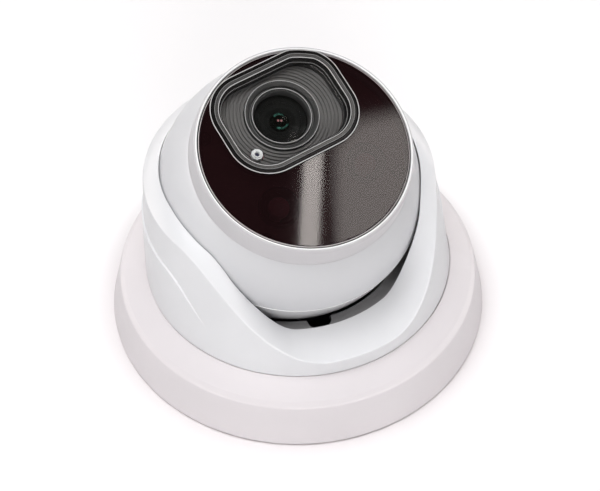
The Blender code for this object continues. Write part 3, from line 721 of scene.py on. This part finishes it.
# ---------------------------------------------------------------- ball
def build_ball():
    def band(radius, low, high, steps):
        start, end = (math.degrees(math.asin(z / radius)) for z in (low, high))
        return arc((0, 0), radius, start, end, steps)

    inner = BALL_RADIUS - SHELL_WALL
    front = BEZEL_BACK - GAP
    outside = band(BALL_RADIUS, SEAM + 0.5, front - 0.6, 22)
    profile = [(BALL_RADIUS - 1.3, SEAM), (BALL_RADIUS - 0.35, SEAM), (BALL_RADIUS - 0.08, SEAM + 0.14)]
    profile += outside
    lip = sphere_radius(BALL_RADIUS, front)
    profile += [(lip + 0.06, front - 0.12), (lip - 0.02, front - 0.03), (lip - 0.2, front)]
    profile += band(inner, front, SEAM, 8)
    piece("ball_front", lathe(profile), "white_plastic", "front_half", ROLL, ["front_shell"],
          look="ball_plastic")

    # A near-white ring along the seam: a painted highlight on the front shell's edge.
    lip = rounded([(BALL_RADIUS - 0.4, SEAM - 0.03, 0.05), (BALL_RADIUS + 0.06, SEAM - 0.03, 0.12),
                   (BALL_RADIUS + 0.06, SEAM + 0.32, 0.12), (BALL_RADIUS - 0.4, SEAM + 0.36, 0.05)])
    piece("seam_lip", lathe(lip), "white_plastic", "front_half", ROLL, look="lip_white")

    inner = REAR_RADIUS - SHELL_WALL
    mouth = SEAM - 0.35
    outside = band(REAR_RADIUS, mouth - 0.2, REAR_FLAT, 26)
    profile = [(REAR_RADIUS - 0.5, mouth)] + outside[:-1]
    flat = sphere_radius(REAR_RADIUS, REAR_FLAT)
    profile += rounded([outside[-2], (flat, REAR_FLAT, 0.8), (5.3, REAR_FLAT)], closed=False)[1:]
    profile += [(5.3, REAR_FLAT + SHELL_WALL)] + band(inner, REAR_FLAT + SHELL_WALL, mouth, 12)
    bm = lathe(profile)
    for side in (-1, 1):
        bm = carve(bm, moved(rod(SHELL_PIN_HOLE, 44.0, 52.0), swing(90 * side, "Y")))
    piece("ball_rear", bm, "rear_shell_plastic", "rear_half", TILT, ["rear_shell"])

    gland = rounded([(0, -43.0), (2.6, -43.0, 0.2), (2.6, -46.2, 0.3), (6.3, -46.2, 0.5), (7.0, -44.6, 0.4),
                     (7.0, REAR_FLAT - GAP, 0.2), (5.0, REAR_FLAT - GAP), (5.0, REAR_FLAT + SHELL_WALL + GAP),
                     (7.2, REAR_FLAT + SHELL_WALL + GAP, 0.3), (7.2, -35.2, 0.4), (0, -35.2)], closed=False)
    piece("gland_boot", lathe(gland, SMALL_STEPS), "rubber", "rear_half", TILT, ["cable_gland"])


def build_bezel():
    profile = rounded([
        (BEZEL_BORE, BEZEL_BACK, 0.2), (40.5, BEZEL_BACK - 0.3, 0.1), (41.5, BEZEL_BACK - 0.28, 0.05),
        (41.2, 30.9, 0.8), (40.75, 38.4, 1.0), (40.4, 39.7, 0.4), (40.2, BEZEL_FRONT - 0.05, 0.22),
        (39.4, BEZEL_FRONT, 0.2), (39.1, BEZEL_FRONT - 0.4, 0.1), (39.1, WINDOW_BACK, 0.1),
        (BEZEL_BORE, WINDOW_BACK - 0.5, 0.1)])
    piece("bezel_band", lathe(profile), "bezel_plastic", "front_half", ROLL, ["bezel_ring"])
    seal = rounded([(38.7, WINDOW_BACK - 0.4, 0.1), (39.05, WINDOW_BACK - 0.4, 0.1),
                    (39.05, WINDOW_FRONT - 0.5, 0.1), (38.7, WINDOW_FRONT - 0.5, 0.1)])
    # A light ring just inside the window's edge: a painted reflection line.
    rim = rounded([(38.42, 39.0, 0.05), (38.68, 39.0, 0.05), (38.7, 39.85, 0.1), (38.5, 40.03, 0.08),
                   (38.42, 40.0, 0.03)])
    piece("window_edge", lathe(rim), "clear_plastic", "front_half", ROLL, ["window"], look="rim_line")
    # A near-white ring round the bezel's front: a painted highlight on its edge.
    lip = rounded([(39.2, 39.9, 0.05), (39.25, 40.32, 0.12), (39.5, 40.42, 0.1), (39.72, 40.34, 0.1),
                   (39.8, 39.9, 0.05)])
    piece("bezel_lip", lathe(lip), "bezel_plastic", "front_half", ROLL, look="lip_white")
    piece("window_seal", lathe(seal), "rubber", "front_half", ROLL, ["window_gasket"])


def build_window():
    """Tinted cover with a rounded opening; the frame bead and the clear pane are one moulding with it."""
    centre = Vector((LENS_X, LENS_Y))
    hole = [Vector(p) + centre for p in bead_outline(0.9)]

    def circle(radius):
        """Where rays from the lens centre through the opening meet a circle about the window's centre."""
        loop = []
        for point in hole:
            ray = (point - centre).normalized()
            b = centre.dot(ray)
            loop.append(centre + ray * (-b + math.sqrt(b * b - centre.length_squared + radius * radius)))
        return loop

    def lift(loop, height):
        return [(p.x, p.y, height) for p in loop]

    edge = [(WINDOW_RADIUS - 0.05, WINDOW_BACK), (WINDOW_RADIUS - 0.05, WINDOW_FRONT - 0.12),
            (WINDOW_RADIUS - 0.12, WINDOW_FRONT - 0.02), (WINDOW_RADIUS - 0.25, WINDOW_FRONT)]
    loops = [lift(hole, WINDOW_BACK)] + [lift(circle(r), z) for r, z in edge] + [lift(hole, WINDOW_FRONT)]
    piece("window_cover", skin(loops), "tinted_window", "front_half", ROLL, ["window"])

    bead = rounded([
        (0.3, WINDOW_BACK - 0.2, 0.1), (0.3, 39.9, 0.05), (0.0, 40.0, 0.05), (0.05, 40.55, 0.22),
        (0.6, 40.6, 0.22), (0.8, 40.1, 0.12), (1.55, 40.1, 0.15), (1.8, 40.85, 0.3), (3.1, 40.7, 0.4),
        (3.35, 39.5, 0.15), (3.95, 39.35, 0.15), (4.1, 38.6, 0.1), (4.55, 38.5, 0.15),
        (4.6, WINDOW_BACK - 0.2, 0.1)], steps=4)
    piece("frame_bead", frame_loft(bead, bead_outline), "gloss_black_plastic", "front_half", LENS, ["window"],
          look="bead_black")
    # Painted highlights along the bead's edges and a painted reflection band on its chamfer, as thin light
    # strips.
    for word, inset, height, width, look in FRAME_LINES:
        line = frame_loft(line_profile(inset, width, height, 0.2), bead_outline)
        piece(f"frame_line_{word}", line, "gloss_black_plastic", "front_half", LENS, look=look)
    pane = prism(bead_outline(4.5), 37.5, 38.2)
    piece("lens_pane", pane, "tinted_window", "front_half", LENS, ["window"], look="lens_pane")


def build_shroud():
    low, high = FACE_FRONT + GAP, WINDOW_BACK - GAP
    wall = rounded([(0.0, low, 0.1), (0.0, high, 0.2), (3.4, high, 0.5), (3.6, low + 1.7, 0.4),
                    (3.55, low, 0.1)], steps=4)
    piece("lens_well", frame_loft(wall), "gloss_black_plastic", "front_half", LENS, ["lens_shroud"])


def build_baffle():
    """Floor round the lens: light-trapping ribs near the lens, plain further out."""
    low = FACE_FRONT + GAP
    edge = [Vector(p) for p in outline(3.75)]
    bore = LENS_RING_RADIUS + GAP
    top, groove = low + 1.5, low + 0.95
    loops = [[(p.x, p.y, low) for p in edge], [(p.x, p.y, top) for p in edge]]

    def ring(radius, height):
        """A loop at one radius; past the floor's edge it stays on the edge, at the plain height."""
        return [(*(p.normalized() * radius), height) if radius < p.length - 0.02 else (p.x, p.y, top)
                for p in edge]

    for index in range(RIBS, 0, -1):
        start = bore + 0.2 + RIB_PITCH * index
        for inward, height in ((0.0, top), (0.14, groove), (0.55, groove), (0.70, top)):
            loops.append(ring(start - inward, height))
    loops.append(ring(bore, top))
    loops.append(ring(bore, low))
    bm = skin(loops)
    bmesh.ops.remove_doubles(bm, verts=bm.verts, dist=1e-4)
    bm = carve(bm, moved(rod(SENSOR_HOLE, low - 1, low + 4), shift(*SENSOR_SPOT)))
    # The rib floor's lighter grey is partly painted sheen.
    piece("rib_floor", bm, "matt_black_plastic", "front_half", LENS, ["lens_baffle"], look="rib_plastic",
          sharp=20.0)


def build_sensor():
    """Light sensor: a clear moulded cap with facets round a dark chip."""
    low = FACE_FRONT + GAP
    place = LENS @ shift(*SENSOR_SPOT)
    cap = [(0.8, low + 0.3), (2.4, low + 0.3), (2.4, low + 1.5), (2.15, low + 2.3), (1.75, low + 2.2),
           (1.5, low + 2.6), (1.05, low + 2.55), (0.8, low + 1.9)]
    piece("sensor_cap", lathe(cap, 9), "clear_plastic", "front_half", place, ["light_sensor"],
          look="sensor_clear", sharp=12.0, even_normals=False)
    chip = rounded([(0, low), (0.75, low), (0.75, low + 1.6, 0.1), (0, low + 1.7)], closed=False)
    piece("sensor_chip", lathe(chip, 24), "sensor_glass", "front_half", place)


# ---------------------------------------------------------------- lens, seen through the pane
def build_lens():
    ring = rounded([
        (10.15, 24.0, 0.1), (14.0, 24.0, 0.2), (14.0, 35.6, 0.3), (13.6, 36.3, 0.2), (13.15, 36.2, 0.15),
        (12.3, 35.2, 0.2), (12.1, 34.2, 0.15), (11.55, 34.1, 0.15), (11.4, 35.2, 0.12), (11.0, 35.3, 0.12),
        (10.8, 34.5, 0.1), (10.45, 34.4, 0.1), (10.3, 33.8, 0.1), (10.15, 33.2, 0.1)], steps=4)
    piece("lens_collar", lathe(ring, LENS_STEPS), "matt_black_plastic", "front_half", LENS, ["lens_ring"],
          look="satin_black")
    # Painted highlights along the collar's edges, as thin light strips.
    for word, radius, height, width, look in COLLAR_LINES:
        line = lathe(line_profile(radius, width, height, 0.25), LENS_STEPS)
        piece(f"collar_line_{word}", line, "matt_black_plastic", "front_half", LENS, look=look)
    cap = 20.0
    rise = math.degrees(math.acos(LENS_RADIUS / cap))
    dome = arc((0, 14.4), cap, rise, 90, 16)
    profile = [(0, 31.6), (LENS_RADIUS - 0.3, 31.0), (LENS_RADIUS, 31.2), (LENS_RADIUS, dome[0][1] - 0.25)]
    profile += dome[:-1] + [(0, 34.4)]
    piece("front_element", lathe(profile, LENS_STEPS), "lens_glass", "front_half", LENS, ["front_lens"])
    cone = rounded([(9.9, 24.2, 0.1), (9.9, 30.6, 0.1), (9.3, 30.6, 0.1), (7.9, 30.4, 0.1), (7.6, 30.1, 0.1),
                    (5.8, 29.9, 0.1), (5.5, 29.6, 0.1), (3.9, 29.4, 0.1), (3.7, 24.2, 0.1)])
    piece("lens_stop", lathe(cone, 96), "matt_black_plastic", "front_half", LENS)
    coat = rounded([(2.5, 30.2, 0.1), (3.0, 29.9, 0.2), (3.4, 30.4, 0.2), (3.05, 31.1, 0.3),
                    (2.6, 30.9, 0.2)])
    # The teal patches on this ring are painted reflection.
    piece("coated_edge", lathe(coat, 64), "lens_glass", "front_half", LENS, look="green_coat")
    small = [(0, 28.3), (2.5, 28.3), (2.5, 29.2)] + arc((0, 27.4), 3.0, 37, 90, 10)[:-1] + [(0, 30.4)]
    piece("inner_element", lathe(small, 64), "lens_glass", "front_half", LENS)
    # Two glowing spots inside the lens: painted glints, not lamps.
    for word, x, y in (("left", -0.52, 0.52), ("right", 0.52, -0.06)):
        spark = [(0, 30.3), (0.42, 30.3), (0.40, 30.6), (0.24, 30.8), (0, 30.85)]
        piece(f"painted_coating_glint_{word}", lathe(spark, 24), "lens_glass", "front_half",
              LENS @ shift(x, y), look="red_coat")


def build_lamps():
    for word, spot in LED_SPOTS.items():
        place = ROLL @ shift(*spot)
        cup = rounded([
            (3.0, 24.8, 0.1), (4.2, 24.8, 0.1), (LED_CUP_RADIUS, 31.0, 0.5), (LED_CUP_RADIUS, 36.4, 0.2),
            (6.6, 36.4, 0.2), (6.2, 33.4, 0.6), (4.9, 29.4, 1.5), (3.1, 26.2, 0.6)])
        piece(f"lamp_reflector_{word}", lathe(cup, SMALL_STEPS), "reflector", "front_half", place,
              [f"led_cup_{word}"], look="lamp_shade")
        dome = rounded([
            (0, 24.8), (2.4, 24.8), (2.4, 31.0), (3.9, 32.6, 0.3), (3.9, 34.6, 0.3), (3.4, 35.2, 0.2),
            (2.9, 34.6, 0.2), (2.4, 35.3, 0.2), (1.8, 34.7, 0.2), (1.3, 35.4, 0.2), (0, 35.5)], closed=False)
        piece(f"lamp_dome_{word}", lathe(dome, SMALL_STEPS), "lamp_plastic", "front_half", place,
              [f"ir_led_{word}"], look="lamp_ring")


def build_face():
    bm = lathe(rounded([(0, FACE_BACK), (FACE_RADIUS, FACE_BACK, 0.3), (FACE_RADIUS, FACE_FRONT, 0.4),
                        (0, FACE_FRONT)], closed=False))
    cuts = [(LENS_RING_RADIUS + GAP, LENS_X, LENS_Y)]
    cuts += [(LED_CUP_RADIUS + GAP, x, y) for x, y in LED_SPOTS.values()]
    cuts += [(SCREW_HOLE, x, y) for x, y in SCREW_SPOTS]
    for radius, x, y in cuts:
        bm = carve(bm, moved(rod(radius, 30.0, 35.0), shift(x, y)))
    piece("face_panel", bm, "face_plastic", "front_half", ROLL, ["face_plate"])
    for index, (x, y) in enumerate(SCREW_SPOTS, 1):
        head = rounded([(0, 33.0), (2.3, 33.0, 0.3), (2.9, 32.4, 0.4), (2.9, 31.8, 0.1), (1.1, 31.8),
                        (1.1, 25.5, 0.3), (0, 25.5)], closed=False)
        bm = carve(lathe(head, SMALL_STEPS), rod(1.1, 32.2, 34.0, 6))
        piece(f"cover_screw_{index}", bm, "dark_steel", "front_half", ROLL @ shift(x, y),
              [f"face_screw_{index}"])


build_base()
build_collar()
build_seat()
build_ball()
build_bezel()
build_window()
build_shroud()
build_baffle()
build_sensor()
build_lens()
build_lamps()
build_face()


# ---------------------------------------------------------------- floor, light, camera
def floor():
    bm = bmesh.new()
    bmesh.ops.create_grid(bm, x_segments=8, y_segments=8, size=FLOOR_REACH)
    obj = new_object("floor", bm)
    obj.location.z = FLOOR_HEIGHT
    m = Nodes("floor_paper", (0.93, 0.90, 0.912), 0.7)
    reach = m.add("ShaderNodeVectorMath", operation="LENGTH")
    m.link(m.place, reach.inputs[0])
    # Painted shadow: the floor's colour darkens towards the base, between the FLOOR_SHADE radii.
    near = m.span(reach.outputs["Value"], *FLOOR_SHADE, 0.0, 1.0)
    paper = m.mix(m.noise(3.0), (0.975, 0.958, 0.966), (0.965, 0.948, 0.956))
    m.out("Base Color", m.mix(near, (0.78, 0.745, 0.755), paper))
    m.set("Specular IOR Level", 0.2)
    obj.data.materials.append(m.mat)


def glowing(name, colour, strength, fade=None):
    """Plain emission; fade names a value on the mesh that scales it."""
    mat = bpy.data.materials.new(name)
    mat.use_nodes = True
    tree = mat.node_tree
    tree.nodes.clear()
    out_node = tree.nodes.new("ShaderNodeOutputMaterial")
    emit = tree.nodes.new("ShaderNodeEmission")
    emit.inputs["Color"].default_value = (*colour, 1.0)
    emit.inputs["Strength"].default_value = strength
    if fade:
        read = tree.nodes.new("ShaderNodeAttribute")
        read.attribute_name = fade
        gain = tree.nodes.new("ShaderNodeMath")
        gain.operation = "MULTIPLY"
        gain.inputs[1].default_value = strength
        tree.links.new(read.outputs["Fac"], gain.inputs[0])
        tree.links.new(gain.outputs[0], emit.inputs["Strength"])
    tree.links.new(emit.outputs[0], out_node.inputs[0])
    return mat


def softbox(name, corners, strength, feather):
    """A lit panel with soft edges, drawn on its own plane. The camera doesn't see it."""
    normal = Vector(PANEL_TOWARD).normalized()
    across = normal.cross(Vector((0, 1, 0))).normalized()
    up = across.cross(normal)
    middle = sum((Vector(c) for c in corners), Vector((0, 0))) / len(corners)
    bm = bmesh.new()
    glow = bm.verts.layers.float.new("glow")
    rows = []
    for reach, value in ((-feather, 1.0), (feather, 0.0)):
        row = []
        for corner in corners:
            out = Vector(corner) - middle
            point = middle + out * (1 + reach / out.length)
            vert = bm.verts.new(Vector(PANEL_CENTRE) + across * point.x + up * point.y)
            vert[glow] = value
            row.append(vert)
        rows.append(row)
    bm.faces.new(rows[0])
    for i in range(len(corners)):
        j = (i + 1) % len(corners)
        bm.faces.new((rows[0][i], rows[0][j], rows[1][j], rows[1][i]))
    obj = new_object(name, bm)
    obj.data.materials.append(glowing(name, WARM_WHITE, strength, "glow"))
    obj.visible_camera = False
    obj.visible_shadow = False


def light():
    """Soft light from all round, less of it from overhead, and the two panels the window reflects."""
    world = bpy.data.worlds.new("studio")
    bpy.context.scene.world = world
    world.use_nodes = True
    tree = world.node_tree
    back = tree.nodes["Background"]
    place = tree.nodes.new("ShaderNodeTexCoord")
    split = tree.nodes.new("ShaderNodeVectorMath")
    split.operation = "DOT_PRODUCT"
    split.inputs[1].default_value = OVERHEAD
    tree.links.new(place.outputs["Generated"], split.inputs[0])
    ramp = tree.nodes.new("ShaderNodeMapRange")
    ramp.interpolation_type = "SMOOTHSTEP"
    levels = (*OVERHEAD_EDGE, WORLD_LEVEL, OVERHEAD_LEVEL)
    for socket, value in zip(("From Min", "From Max", "To Min", "To Max"), levels):
        ramp.inputs[socket].default_value = value
    tree.links.new(split.outputs["Value"], ramp.inputs["Value"])
    tree.links.new(ramp.outputs["Result"], back.inputs["Strength"])
    back.inputs["Color"].default_value = (1.0, 1.0, 1.0, 1.0)
    softbox("panel_light", PANEL_OUTLINE, 4.2, 0.012)
    softbox("strip_light", STRIP_OUTLINE, 11.5, 0.0095)


def studio_wall(name, radius, heights, strength, colour):
    """A lit wall round the studio. It casts no light and no shadow; the caller says which rays see it."""
    obj = new_object(name, skin([hoop(radius, height, SMALL_STEPS) for height in heights], closed=False))
    obj.data.materials.append(glowing(name, colour, strength))
    obj.visible_diffuse = False
    obj.visible_shadow = False
    return obj


def area_light(name, place, target, size, energy):
    """A round lamp that neither the camera nor gloss sees."""
    data = bpy.data.lights.new(name, "AREA")
    data.shape = "DISK"
    data.size = size
    data.energy = energy
    obj = bpy.data.objects.new(name, data)
    bpy.context.collection.objects.link(obj)
    obj.location = place
    obj.rotation_mode = "QUATERNION"
    obj.rotation_quaternion = (Vector(target) - Vector(place)).to_track_quat("-Z", "Y")
    obj.visible_camera = False
    obj.visible_glossy = False


def camera():
    azimuth = math.radians(CAMERA_AZIMUTH)
    elevation = math.radians(CAMERA_ELEVATION)
    roll = math.radians(CAMERA_ROLL)
    forward = Vector((-math.sin(azimuth) * math.cos(elevation), math.cos(azimuth) * math.cos(elevation),
                      -math.sin(elevation)))
    level = forward.cross(Vector((0, 0, 1))).normalized()
    right = level * math.cos(roll) + forward.cross(level) * math.sin(roll)
    up = right.cross(forward)
    data = bpy.data.cameras.new("camera")
    data.lens = CAMERA_LENS_MM
    data.sensor_width = CAMERA_FILM_MM
    data.clip_start = 0.01
    data.clip_end = 50.0
    obj = bpy.data.objects.new("camera", data)
    bpy.context.collection.objects.link(obj)
    turn = Matrix((right, up, -forward)).transposed().to_4x4()
    obj.matrix_world = shift(*(Vector(CAMERA_TARGET) - forward * CAMERA_DISTANCE)) @ turn
    bpy.context.scene.camera = obj


floor()
light()
area_light("top_light", (-0.3, 0.1, 2.9), (0, 0, 0.03), 1.9, 69.0)
area_light("front_fill", (-0.7, -2.2, 0.95), (0, 0, 0.04), 1.2, 18.0)
# A bright low wall that only gloss picks up, so that dark glossy edges draw as light lines.
studio_wall("gloss_wall", 3.0, (0.45, 0.7, 0.95), 9.0, WARM_WHITE).visible_camera = False
# A white backdrop that only the camera sees.
studio_wall("backdrop", 5.5, (-0.1, 6.0), 1.02, (1.0, 1.0, 1.0)).visible_glossy = False
camera()
bpy.context.scene.view_settings.view_transform = "Standard"
